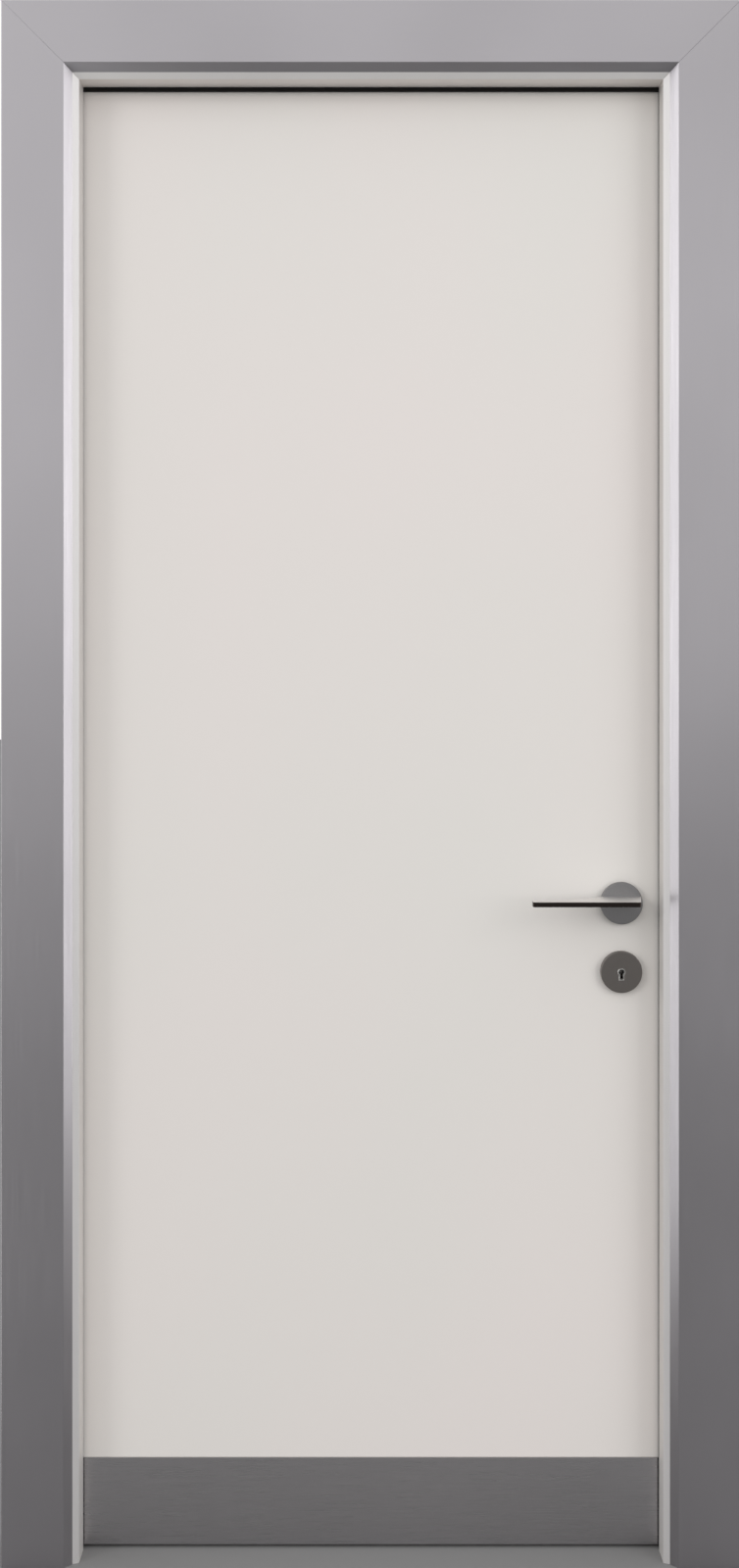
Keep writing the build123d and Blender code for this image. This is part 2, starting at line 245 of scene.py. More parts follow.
def add_lamp(name, place, target, width, height, power):
    """A rectangular soft lamp at a place, turned towards a target."""
    data = bpy.data.lights.new(name, "AREA")
    data.shape = "RECTANGLE"
    data.size = width
    data.size_y = height
    data.energy = power
    lamp = bpy.data.objects.new(name, data)
    lamp.location = place
    aim = Vector(target) - Vector(place)
    lamp.rotation_euler = aim.to_track_quat("-Z", "Y").to_euler()
    scene.collection.objects.link(lamp)
    return lamp


def in_front(bearing, rise, distance):
    """A place in front of the leaf, so many degrees to the right and up."""
    turn, lift = math.radians(bearing), math.radians(rise)
    level = math.cos(lift)
    way = Vector((math.sin(turn) * level, -math.cos(turn) * level, math.sin(lift)))
    return leaf_centre + way * distance


key_place = in_front(key_bearing, key_rise, key_distance)
key_lamp = add_lamp("key_lamp", key_place, leaf_centre, key_size, key_size, key_power)
side_place = in_front(side_bearing, side_rise, side_distance)
side_lamp = add_lamp("side_lamp", side_place, leaf_centre, side_size, side_size, side_power)
for lamp in (key_lamp, side_lamp):
    lamp.visible_glossy = False
    print(lamp.name, "at", [round(v, 2) for v in lamp.location])

# %% [markdown]
# Two tall strips stand beside the door, close to the plane of the wall. They are seen in
# reflections only. The 45 degree edge on each side of the frame mirrors the strip on the other
# side, and that is what makes the bright lines down both sides of the doorway. The nearer strip
# is mirrored further down.

# %% Strips beside the door
strip_slope = 0.167
for name, reach, height, width, length, power in (
    ("left_strip", -0.9, 1.40, 0.40, 2.8, 5.6),
    ("right_strip", 1.6, 1.45, 0.70, 2.8, 9.6),
):
    lead = strip_slope * (abs(reach) + (stop_right - stop_left) / 2)
    place = (middle_x + reach, casing_face - lead, height)
    strip = add_lamp(name, place, (middle_x, casing_face, height), width, length, power)
    strip.visible_diffuse = False
    strip.visible_camera = False
    print(name, "at", [round(v, 2) for v in place])

# %% [markdown]
# How a finish is made
#
# Each finish is a small network of nodes. It starts from Object coordinates, which are metres
# in the door's own frame, so one grain line has a real width. A Mapping node stretches the
# pattern: squeezing it across the grain and leaving it long along the grain turns round
# speckles into brushed lines. The pattern then drives three things a little: the tone, the
# roughness and the bump.

# %% Patterns
def start_finish(name, tone, roughness, metallic=0.0):
    """A material with its shader's plain values set."""
    material = bpy.data.materials.new(name)
    material.use_nodes = True
    shader = material.node_tree.nodes["Principled BSDF"]
    shader.inputs["Base Color"].default_value = (*tone, 1)
    shader.inputs["Roughness"].default_value = roughness
    shader.inputs["Metallic"].default_value = metallic
    return material, material.node_tree, shader


def speckle(tree, stretch, detail=3.0, turn=(0, 0, 0)):
    """A noise pattern in object space, with so many features per metre along each axis."""
    place = node_of(tree, "ShaderNodeTexCoord")
    mapping = node_of(tree, "ShaderNodeMapping")
    mapping.inputs["Scale"].default_value = stretch
    mapping.inputs["Rotation"].default_value = turn
    noise = node_of(tree, "ShaderNodeTexNoise")
    noise.inputs["Scale"].default_value = 1.0
    noise.inputs["Detail"].default_value = detail
    link(tree, place.outputs["Object"], mapping.inputs["Vector"])
    link(tree, mapping.outputs[0], noise.inputs["Vector"])
    return noise.outputs["Fac"]


print("made: start_finish, speckle")

# %% From a pattern to tone, gloss and relief
def spread(tree, value, low, high, start=0.3, end=0.7):
    """A pattern's values brought to the range from low to high."""
    ranged = node_of(tree, "ShaderNodeMapRange")
    ranged.inputs["From Min"].default_value = start
    ranged.inputs["From Max"].default_value = end
    ranged.inputs["To Min"].default_value = low
    ranged.inputs["To Max"].default_value = high
    link(tree, value, ranged.inputs["Value"])
    return ranged.outputs["Result"]


def two_tones(tree, value, dark, light, start=0.3, end=0.7):
    """A pattern's values as a colour between two tones."""
    ramp = node_of(tree, "ShaderNodeValToRGB")
    ramp.color_ramp.elements[0].position = start
    ramp.color_ramp.elements[0].color = (*dark, 1)
    ramp.color_ramp.elements[1].position = end
    ramp.color_ramp.elements[1].color = (*light, 1)
    link(tree, value, ramp.inputs["Fac"])
    return ramp.outputs["Color"]


def add_bump(tree, shader, value, depth, strength=1.0, below=None):
    """A relief of a real depth in metres, on top of another one where it is given."""
    bump = node_of(tree, "ShaderNodeBump")
    bump.inputs["Distance"].default_value = depth
    bump.inputs["Strength"].default_value = strength
    link(tree, value, bump.inputs["Height"])
    if below:
        link(tree, below, bump.inputs["Normal"])
    link(tree, bump.outputs[0], shader.inputs["Normal"])
    return bump.outputs[0]


def shade(tone, factor):
    """A tone made lighter or darker."""
    return tuple(channel * factor for channel in tone)


print("made: spread, two_tones, add_bump, shade")

# %% [markdown]
# Metal finishes
#
# All the metals share one recipe: fine lines that change the gloss and the relief, and slow
# clouds that change the tone. A worn sheet can also have scuffs, a few thin dull marks that lie
# nearly level.

# %% Brushed metal
cloud_stretch = (3.1, 3.1, 2.3)
gloss_swing = 0.05
scuff_stretch = (5.0, 5.0, 190.0)
scuff_lean = (0, 0.12, 0)
scuff_start = 0.62
scuff_end = 0.74


def brushed_metal(name, tone, roughness, grain, depth, vary=0.05, scuffs=0.0, metallic=1.0):
    """A metal with fine grain lines, slow changes of tone and, where asked for, scuffs."""
    material, tree, shader = start_finish(name, tone, roughness, metallic)
    lines = speckle(tree, grain, detail=4.0)
    clouds = speckle(tree, cloud_stretch, detail=2.0)
    tones = two_tones(tree, clouds, shade(tone, 1 - vary), shade(tone, 1 + vary))
    link(tree, tones, shader.inputs["Base Color"])
    gloss = spread(tree, lines, roughness - gloss_swing, roughness + gloss_swing)
    if scuffs:
        rubbed = speckle(tree, scuff_stretch, detail=6.0, turn=scuff_lean)
        marks = spread(tree, rubbed, 0.0, scuffs, start=scuff_start, end=scuff_end)
        total = node_of(tree, "ShaderNodeMath", operation="ADD")
        link(tree, gloss, total.inputs[0])
        link(tree, marks, total.inputs[1])
        gloss = total.outputs[0]
    link(tree, gloss, shader.inputs["Roughness"])
    add_bump(tree, shader, lines, depth)
    return material


print("made: brushed_metal")

# %% [markdown]
# The frame is satin anodised aluminium: grey with a trace of violet, and so soft in its gloss
# that it shows the room only as a gradient. Its fine draw lines run along each bar, so the
# uprights and the head need the same finish with the grain turned. The lip and the faces inside
# the doorway are the same aluminium, but they get much lighter, warm tones and are partly matt:
# painted light, with a painted reflection of the warm leaf, so that they stay light where a pure
# mirror would show the grey floor. The head's tones are lighter still, painted light for the
# shade under the head.

# %% Frame finishes
upright_grain = (1400.0, 1400.0, 9.0)
level_grain = (9.0, 1400.0, 1400.0)
aluminium = {"tone": (0.437, 0.420, 0.440), "roughness": 0.33, "depth": 0.012 * MM}
upright_aluminium = brushed_metal("upright_aluminium", grain=upright_grain, **aluminium)
head_aluminium = brushed_metal("head_aluminium", grain=level_grain, **aluminium)
# Painted light: the lighter, warm tones below paint light and a reflection of the leaf onto the
# lip and the doorway faces, and the head's lighter ones paint light into its shade.
bright = {"roughness": 0.45, "depth": 0.002 * MM, "vary": 0.02}
upright_lip_painted_light = brushed_metal(
    "upright_lip_painted_light", (0.83, 0.805, 0.795), grain=upright_grain, metallic=0.7, **bright
)
head_lip_painted_light = brushed_metal(
    "head_lip_painted_light", (0.88, 0.855, 0.835), grain=level_grain, metallic=0.75, **bright
)
reveal = {"roughness": 0.5, "depth": 0.002 * MM, "vary": 0.02, "metallic": 0.35}
upright_reveal_painted_light = brushed_metal(
    "upright_reveal_painted_light", (0.72, 0.69, 0.665), grain=upright_grain, **reveal
)
head_reveal_painted_light = brushed_metal("head_reveal_painted_light", (0.90, 0.865, 0.835), grain=level_grain, **reveal)
print("materials so far", len(bpy.data.materials))

# %% [markdown]
# The kick plate is brushed steel with level grain and a few scuffs. The handle's cover and the
# keyhole disc are darker satin steels. The handle's blade is one steel, given a light tone on its
# flat faces and a nearly black one round its edge: a painted highlight on the faces and painted
# shade on the edge. Hinges, lock parts and screws are plain satin steels.

# %% Steel finishes
disc_grain = (900.0, 900.0, 60.0)
blade_grain = (8.0, 1200.0, 1200.0)
part_grain = (1100.0, 1100.0, 12.0)
screw_grain = (700.0, 700.0, 700.0)
kick_steel = brushed_metal(
    "kick_steel", (0.52, 0.505, 0.518), 0.30, level_grain, 0.005 * MM, vary=0.03, scuffs=0.04
)
cover_steel = brushed_metal(
    "cover_steel", (0.268, 0.263, 0.265), 0.50, disc_grain, 0.002 * MM
)
plate_steel = brushed_metal(
    "plate_steel", (0.198, 0.182, 0.170), 0.40, disc_grain, 0.003 * MM
)
# Painted light: the blade's edge tone is painted shade and its face tone a painted highlight, on
# one and the same steel.
blade_edge_steel_painted_shade = brushed_metal(
    "blade_edge_steel_painted_shade", (0.045, 0.036, 0.032), 0.20, blade_grain, 0.003 * MM
)
blade_face_steel_painted_highlight = brushed_metal(
    "blade_face_steel_painted_highlight", (0.80, 0.785, 0.77), 0.42, blade_grain, 0.004 * MM
)
hinge_steel = brushed_metal("hinge_steel", (0.50, 0.49, 0.48), 0.30, part_grain, 0.01 * MM)
lock_steel = brushed_metal("lock_steel", (0.56, 0.55, 0.53), 0.28, part_grain, 0.01 * MM)
screw_steel = brushed_metal("screw_steel", (0.60, 0.59, 0.57), 0.25, screw_grain, 0.006 * MM)
print("steels", [m.name for m in bpy.data.materials if "steel" in m.name])

# %% [markdown]
# Laminate and rubber
#
# The leaf is faced with a matt laminate: warm white, with a pearled surface that is felt more
# than seen, and very slow patches of a warmer and a cooler tone. The seals are black rubber with
# a fine bloom.

# %% Laminate and rubber
def laminate_finish():
    """The leaf's warm white face."""
    tone = (0.790, 0.741, 0.700)
    material, tree, shader = start_finish("leaf_laminate", tone, roughness=0.48)
    patches = speckle(tree, (2.6, 2.6, 1.7), detail=1.5)
    tones = two_tones(tree, patches, (0.779, 0.742, 0.698), (0.801, 0.741, 0.704))
    link(tree, tones, shader.inputs["Base Color"])
    pearl = speckle(tree, (520.0, 520.0, 520.0), detail=2.0)
    link(tree, spread(tree, pearl, low=0.43, high=0.53), shader.inputs["Roughness"])
    wave = speckle(tree, (14.0, 14.0, 9.0), detail=1.0)
    slow = add_bump(tree, shader, wave, depth=0.25 * MM, strength=0.5)
    add_bump(tree, shader, pearl, depth=0.03 * MM, below=slow)
    return material


def rubber_finish():
    """The black seal."""
    tone = (0.006, 0.0055, 0.005)
    material, tree, shader = start_finish("seal_rubber", tone, roughness=0.72)
    shader.inputs["Specular IOR Level"].default_value = 0.2
    bloom = speckle(tree, (260.0, 260.0, 60.0))
    tones = two_tones(tree, bloom, (0.004, 0.0035, 0.003), (0.009, 0.008, 0.007))
    link(tree, tones, shader.inputs["Base Color"])
    link(tree, spread(tree, bloom, low=0.65, high=0.80), shader.inputs["Roughness"])
    add_bump(tree, shader, bloom, depth=0.04 * MM)
    return material


leaf_laminate = laminate_finish()
seal_rubber = rubber_finish()
print(leaf_laminate.name, seal_rubber.name)

# %% [markdown]
# Edge band and board
#
# The leaf's edges are a plain matt band over a core of pressed board.

# %% Edge band and board
def band_finish():
    """The matt band on the leaf's edges."""
    tone = (0.56, 0.53, 0.50)
    material, tree, shader = start_finish("edge_band", tone, roughness=0.5)
    lines = speckle(tree, (700.0, 700.0, 25.0))
    tones = two_tones(tree, lines, (0.54, 0.51, 0.48), (0.58, 0.55, 0.52))
    link(tree, tones, shader.inputs["Base Color"])
    link(tree, spread(tree, lines, low=0.45, high=0.56), shader.inputs["Roughness"])
    add_bump(tree, shader, lines, depth=0.02 * MM)
    return material


def board_finish():
    """The pressed board inside the leaf."""
    tone = (0.52, 0.38, 0.24)
    material, tree, shader = start_finish("core_board", tone, roughness=0.85)
    chips = speckle(tree, (300.0, 120.0, 300.0), detail=5.0)
    tones = two_tones(tree, chips, (0.38, 0.26, 0.15), (0.62, 0.47, 0.31))
    link(tree, tones, shader.inputs["Base Color"])
    link(tree, spread(tree, chips, low=0.78, high=0.92), shader.inputs["Roughness"])
    add_bump(tree, shader, chips, depth=0.3 * MM)
    return material


edge_band = band_finish()
core_board = board_finish()
print("finishes", len(bpy.data.materials))

# %% [markdown]
# Softened edges
#
# No real edge is perfectly sharp: a folded or sawn bar has a tiny round edge that catches the
# light, and two mitred bars meet in a hairline groove. The construction's bars are right in
# every size but razor sharp, so each one is copied, its loose triangles are merged, and a Bevel
# rounds its edges by less than a millimetre. The normals stored with the construction are taken
# off, so that they don't win over the new ones. A Weighted Normal keeps the big faces flat.

# %% Bevelled copies
weld_reach = 0.001 * MM
flat_within = 0.5


def bake_modifiers(piece):
    """Turns a piece's modifiers into plain mesh."""
    graph = bpy.context.evaluated_depsgraph_get()
    done = bpy.data.meshes.new_from_object(piece.evaluated_get(graph))
    done.name = piece.name
    piece.modifiers.clear()
    piece.data = done


def merged_copy(node, material):
    """A node's mesh in one finish, with its triangles joined into whole faces."""
    mesh = nodes[node].data.copy()
    shape = bmesh.new()
    shape.from_mesh(mesh)
    bmesh.ops.remove_doubles(shape, verts=shape.verts, dist=weld_reach)
    bmesh.ops.dissolve_limit(
        shape, angle_limit=math.radians(flat_within), verts=shape.verts, edges=shape.edges
    )
    for face in shape.faces:
        face.smooth = True
    shape.to_mesh(mesh)
    shape.free()
    stored = mesh.attributes.get("custom_normal")
    if stored:
        mesh.attributes.remove(stored)
    mesh.materials.clear()
    mesh.materials.append(material)
    return mesh


def add_bevel(piece, width, segments, least_angle):
    """Rounds the edges where two faces turn by more than the least angle."""
    bevel = piece.modifiers.new("soft_edges", "BEVEL")
    bevel.width = width
    bevel.segments = segments
    bevel.limit_method = "ANGLE"
    bevel.angle_limit = math.radians(least_angle)
    return bevel


def softened(node, material, width, segments=2, least_angle=35.0, crease=None):
    """A copy of a node with rounded edges, which replaces it. Where a crease angle is given,
    the edges that turn by more than that are shaded as sharp."""
    piece = new_piece(f"{node}_finished", merged_copy(node, material))
    add_bevel(piece, width, segments, least_angle).miter_outer = "MITER_ARC"
    bake_modifiers(piece)
    if crease:
        piece.data.set_sharp_from_angle(angle=math.radians(crease))
    piece.modifiers.new("flat_faces", "WEIGHTED_NORMAL").keep_sharp = True
    bake_modifiers(piece)
    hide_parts(node)
    return piece


print("made: merged_copy, add_bevel, softened")

# %% [markdown]
# The bars of the frame
#
# Each front casing has a flat face, a 45 degree chamfer and a narrow sloping lip. The chamfer
# and the lip meet at less than 23 degrees, too shallow an edge to round, so it is marked sharp.
# The lip and the faces inside the doorway get their own lighter finishes, which carry painted
# light, chosen by how far a face's centre lies from the doorway.

# %% Frame bars
bar_edge = 0.35 * MM
slope_crease = 21.0
lip_width = 8.5 * MM
on_edge = 0.1 * MM


def depth_in_doorway(point):
    """0 on a bar's face and chamfer, 1 on the lip beside the doorway, 2 inside the doorway."""
    past = max(stop_left - point.x, point.x - stop_right, point.z - stop_head)
    if past > lip_width:
        return 0
    return 1 if past > on_edge else 2


for node, material, inside in (
    ("hinge_jamb", upright_reveal_painted_light, ()),
    ("latch_jamb", upright_reveal_painted_light, ()),
    ("head_lining", head_reveal_painted_light, ()),
    ("front_casing_left", upright_aluminium, (upright_lip_painted_light, upright_reveal_painted_light)),
    ("front_casing_right", upright_aluminium, (upright_lip_painted_light, upright_reveal_painted_light)),
    ("front_casing_head", head_aluminium, (head_lip_painted_light, head_reveal_painted_light)),
    ("back_casing_left", upright_aluminium, ()),
    ("back_casing_right", upright_aluminium, ()),
    ("back_casing_head", head_aluminium, ()),
):
    bar = softened(node, material, bar_edge, crease=slope_crease)
    for finish in inside:
        bar.data.materials.append(finish)
    for face in bar.data.polygons:
        # The lip and the doorway faces get the finishes with painted light and a painted
        # reflection of the leaf.
        face.material_index = min(depth_in_doorway(face.center), len(inside))
    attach(bar, "frame")
    print(bar.name, len(bar.data.polygons))

# %% [markdown]
# The leaf's faces and its kick plates
#
# The laminate ends on a thin groove above the kick plate, and both have a slightly eased edge.

# %% Leaf faces
sheet_edge = 0.35 * MM
for node, material, finish in (
    ("front_skin", leaf_laminate, "leaf_laminate"),
    ("back_skin", leaf_laminate, "leaf_laminate"),
    ("front_kick_plate", kick_steel, "kick_steel"),
    ("back_kick_plate", kick_steel, "kick_steel"),
):
    sheet = softened(node, material, sheet_edge)
    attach(sheet, "leaf")
    print(sheet.name, len(sheet.data.polygons))

# %% [markdown]
# Seals
#
# Each seal is a rubber strip: a thin flange in the stop and a round bulb that the leaf presses.
# Its section never changes, so it is drawn once, as a ring of points, and copied to both ends
# of its length.

# %% A section drawn along a length
flange_thickness = 1.2 * MM
flange_margin = 2.0 * MM
bulb_steps = 18
sharp_angle = 40.0


def bulb_section(inner, outer, back, front, fullness=2.0):
    """A seal's section: a flange, and a bulb from the visible edge outwards. (across, y) points.
    A fullness of 2 gives a round bulb, and more gives a squarer one."""
    shelf = back + flange_thickness
    way = 1 if outer > inner else -1
    bulb_end = outer - way * flange_margin
    middle, half = (inner + bulb_end) / 2, (inner - bulb_end) / 2
    ring = [(inner, back), (outer, back), (outer, shelf)]
    for step in range(bulb_steps + 1):
        angle = math.pi * (1 - step / bulb_steps)
        across, up = math.cos(angle), math.sin(angle)
        bulge = (abs(across) ** fullness + up**fullness) ** (-1 / fullness)
        ring.append((middle + half * across * bulge, shelf + (front - shelf) * up * bulge))
    return ring


def drawn_along(name, ring, place, start, end, material):
    """A section copied to both ends of a length, where place(across, y, along) is a point."""
    shape = bmesh.new()
    ends = [[shape.verts.new(place(a, y, along)) for a, y in ring] for along in (start, end)]
    count = len(ring)
    for i in range(count):
        j = (i + 1) % count
        shape.faces.new((ends[0][i], ends[0][j], ends[1][j], ends[1][i]))
    shape.faces.new(ends[0])
    shape.faces.new(ends[1])
    bmesh.ops.recalc_face_normals(shape, faces=shape.faces)
    for face in shape.faces:
        face.smooth = True
    mesh = bpy.data.meshes.new(name)
    shape.to_mesh(mesh)
    shape.free()
    mesh.materials.append(material)
    mesh.set_sharp_from_angle(angle=math.radians(sharp_angle))
    return new_piece(name, mesh)


def upright_place(across, y, along):
    """A point of an upright section."""
    return (across, y, along)


def level_place(across, y, along):
    """A point of the section over the leaf."""
    return (along, y, across)


print("made: bulb_section, drawn_along")

# %% [markdown]
# The seals beside the leaf are tucked a little behind the stop. The one over the leaf hangs down
# further and is squarer, which draws the black line under the head: partly the real seal and
# partly painted shade, a black strip standing in for the shaded gap over the leaf.

# %% The three seals
left_low, left_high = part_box("gasket_left")
right_low, right_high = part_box("gasket_right")
head_low, head_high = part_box("gasket_head")
tucked = 1.6 * MM
half_tucked = 0.9 * MM
head_fullness = 5.0
# Painted shade: the head seal hangs lower than a real one, so that its black rubber draws the
# shaded gap over the leaf.
head_shade_drop = 0.7 * MM
left_ring = bulb_section(left_high[X] - tucked, left_low[X], left_low[Y], left_high[Y])
right_ring = bulb_section(right_low[X] + half_tucked, right_high[X], right_low[Y], right_high[Y])
head_ring = bulb_section(
    head_low[Z] - head_shade_drop, head_high[Z], head_low[Y], head_high[Y], head_fullness
)
for side, ring, place, start, end in (
    ("left", left_ring, upright_place, left_low[Z], left_high[Z]),
    ("right", right_ring, upright_place, right_low[Z], right_high[Z]),
    ("head", head_ring, level_place, head_low[X], head_high[X]),
):
    seal = drawn_along(f"seal_{side}", ring, place, start, end, seal_rubber)
    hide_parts(f"gasket_{side}")
    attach(seal, "frame")
    print(seal.name, len(seal.data.polygons))

# %% [markdown]
# The handle
#
# The handle is a round cover that turns with a flat blade. The blade is a plate about 7 mm
# thick, rooted across the cover and swept towards the hinges. The cover is turned on a lathe, so
# it is made as a lathe makes it: a half outline spun about the spindle.

# %% Turned pieces
round_steps = 96


def mirrored_to_back(mesh):
    """Moves a front shape to the leaf's other side."""
    for vertex in mesh.vertices:
        vertex.co.y = 2 * leaf_middle - vertex.co.y
    mesh.flip_normals()


def turned(name, outline, centre_x, centre_z, material, at_back=False):
    """A shape spun about an axis along Y, from (radius, y) points."""
    shape = bmesh.new()
    points = [shape.verts.new((centre_x + radius, y, centre_z)) for radius, y in outline]
    edges = [shape.edges.new(pair) for pair in zip(points, points[1:])]
    bmesh.ops.spin(
        shape,
        geom=points + edges,
        cent=(centre_x, 0, centre_z),
        axis=(0, 1, 0),
        angle=math.tau,
        steps=round_steps,
        use_merge=True,
    )
    bmesh.ops.remove_doubles(shape, verts=shape.verts, dist=weld_reach)
    bmesh.ops.recalc_face_normals(shape, faces=shape.faces)
    for face in shape.faces:
        face.smooth = True
    mesh = bpy.data.meshes.new(name)
    shape.to_mesh(mesh)
    shape.free()
    if at_back:
        mirrored_to_back(mesh)
    mesh.materials.append(material)
    mesh.set_sharp_from_angle(angle=math.radians(sharp_angle))
    return new_piece(name, mesh)


def rim(radius, y, turn, steps=6):
    """The points of a quarter round at the rim of a disc, from its face to its side."""
    points = []
    for step in range(steps + 1):
        angle = math.pi / 2 * step / steps
        points.append((radius - turn + turn * math.sin(angle), y + turn - turn * math.cos(angle)))
    return points


print("made: turned, rim")

# %% Handle sizes
lever_low, lever_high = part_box("front_lever")
cover_radius = (lever_high[Z] - lever_low[Z]) / 2
cover_gap = 0.3 * MM
cover_thickness = 6.2 * MM
cover_rim = 0.8 * MM
cover_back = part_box("front_rose")[0][Y] - cover_gap
cover_face = cover_back - cover_thickness
hub_radius = 8.0 * MM
blade_thickness = 6.8 * MM
blade_z = spindle_z + 6.0 * MM
blade_front = lever_low[Y]
blade_tip = lever_low[X]
blade_heel = spindle_x + 19.0 * MM
blade_root = 27.0 * MM
tip_depth = 18.0 * MM
middle_depth = 27.0 * MM
corner_turn = 4.0 * MM
print("cover radius", round(cover_radius / MM, 2), "mm")
print("blade length", round((spindle_x - blade_tip) / MM, 1), "mm")

# %% [markdown]
# The blade's outline is seen from above: a straight front edge, a free end with soft corners,
# and a back edge that curves in and swells again to meet the cover. Its two flat faces get a
# light satin tone, a painted highlight, and its edge all round a nearly black polished one,
# painted shade.

# %% The blade's outline
back_steps = 24


def arc_through(start, middle, end, steps):
    """Points on the circle through three points."""
    (ax, ay), (bx, by), (cx, cy) = start, middle, end
    d = 2 * (ax * (by - cy) + bx * (cy - ay) + cx * (ay - by))
    a2, b2, c2 = ax * ax + ay * ay, bx * bx + by * by, cx * cx + cy * cy
    ux = (a2 * (by - cy) + b2 * (cy - ay) + c2 * (ay - by)) / d
    uy = (a2 * (cx - bx) + b2 * (ax - cx) + c2 * (bx - ax)) / d
    radius = math.hypot(ax - ux, ay - uy)
    first = math.atan2(ay - uy, ax - ux)
    last = math.atan2(cy - uy, cx - ux)
    turn = (last - first + math.pi) % math.tau - math.pi
    angles = [first + turn * step / steps for step in range(steps + 1)]
    return [(ux + radius * math.cos(a), uy + radius * math.sin(a)) for a in angles]


def rounded_corner(before, corner, after, radius, steps=6):
    """The points of a corner rounded with a quadratic curve."""
    corner = Vector(corner)
    start = corner + (Vector(before) - corner).normalized() * radius
    end = corner + (Vector(after) - corner).normalized() * radius
    points = []
    for step in range(steps + 1):
        t = step / steps
        points.append(start * (1 - t) ** 2 + corner * 2 * t * (1 - t) + end * t * t)
    return [tuple(p) for p in points]


def blade_outline():
    """The blade seen from above, as (x, y) points."""
    root_left = spindle_x - blade_root
    root_right = spindle_x + blade_root
    inner = cover_face + cover_thickness / 2
    middle = ((blade_tip + root_left) / 2, blade_front + middle_depth)
    tip_back = (blade_tip, blade_front + tip_depth)
    tip_front = (blade_tip, blade_front)
    heel = (blade_heel, blade_front)
    back_edge = arc_through((root_left, cover_face), middle, tip_back, back_steps)
    outline = [(root_left, inner)] + back_edge[:-2]
    outline += rounded_corner(back_edge[-3], tip_back, tip_front, corner_turn)
    outline += rounded_corner(tip_back, tip_front, heel, corner_turn)
    outline += rounded_corner(tip_front, heel, (root_right, cover_face), corner_turn)
    return outline + [(root_right, cover_face), (root_right, inner)]


print("outline points", len(blade_outline()))

# %% Blade and cover
blade_edge = 0.7 * MM
blade_edge_steps = 3
flat_enough = 0.8


def make_blade(name, at_back):
    """The flat blade, with softened edges all round."""
    shape = bmesh.new()
    low = blade_z - blade_thickness / 2
    ring = [shape.verts.new((x, y, low)) for x, y in blade_outline()]
    face = shape.faces.new(ring)
    top = bmesh.ops.extrude_face_region(shape, geom=[face])["geom"]
    moved = [part for part in top if isinstance(part, bmesh.types.BMVert)]
    bmesh.ops.translate(shape, verts=moved, vec=(0, 0, blade_thickness))
    bmesh.ops.recalc_face_normals(shape, faces=shape.faces)
    for face in shape.faces:
        face.smooth = True
    mesh = bpy.data.meshes.new(name)
    shape.to_mesh(mesh)
    shape.free()
    if at_back:
        mirrored_to_back(mesh)
    mesh.materials.append(blade_edge_steel_painted_shade)
    mesh.materials.append(blade_face_steel_painted_highlight)
    piece = new_piece(name, mesh)
    add_bevel(piece, blade_edge, blade_edge_steps, sharp_angle)
    piece.modifiers.new("flat_faces", "WEIGHTED_NORMAL").keep_sharp = True
    bake_modifiers(piece)
    for face in piece.data.polygons:
        # Painted light: faces that look up or down get the light tone, a painted highlight, and
        # the edge all round the near-black tone, painted shade.
        face.material_index = int(abs(face.normal.z) > flat_enough)
    return piece


def make_cover(name, at_back):
    """The turned cover and the hub that carries it."""
    hub_end = lever_high[Y]
    outline = [(0, cover_face)] + rim(cover_radius, cover_face, cover_rim)
    outline += [(cover_radius, cover_back), (hub_radius, cover_back)]
    outline += [(hub_radius, hub_end), (0, hub_end)]
    return turned(name, outline, spindle_x, spindle_z, cover_steel, at_back)


for side, at_back in (("front", False), ("back", True)):
    cover = make_cover(f"{side}_handle_cover", at_back)
    blade = make_blade(f"{side}_handle_blade", at_back)
    for piece in (cover, blade):
        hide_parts(f"{side}_lever")
        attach(piece, "lever_set")
        print(piece.name, len(piece.data.polygons))

# %% [markdown]
# The keyhole disc
#
# A dark turned disc stands below the handle, with a keyhole through it. A bright steel guide
# lines the hole and stands a hair above the disc, so that from afar it is a small light mark.

# %% Keyhole guide
hole_radius = 3.6 * MM
hole_slot = 3.6 * MM
hole_drop = 9.5 * MM
hole_steps = 28
guide_width = 1.9 * MM
guide_proud = 0.3 * MM
guide_depth = 7.0 * MM
guide_play = 0.05 * MM
outer_share = 0.85
inner_share = 0.2
disc_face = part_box("front_escutcheon")[0][Y]
guide_levels = [
    (guide_width, disc_face),
    (guide_width * outer_share, disc_face - guide_proud),
    (guide_width * inner_share, disc_face - guide_proud),
    (-guide_play, disc_face + guide_proud),
    (-guide_play, disc_face + guide_depth),
]


def keyhole_ring(grow):
    """The keyhole's outline, grown outwards, as (x, z) points from the slot's left foot round."""
    radius = hole_radius + grow
    half = hole_slot / 2 + grow
    foot = key_z - hole_drop - grow
    start = math.asin(half / radius)
    points = [(spindle_x - half, foot)]
    for step in range(hole_steps + 1):
        angle = -math.pi / 2 - start - (math.tau - 2 * start) * step / hole_steps
        points.append((spindle_x + radius * math.cos(angle), key_z + radius * math.sin(angle)))
    return points + [(spindle_x + half, foot)]


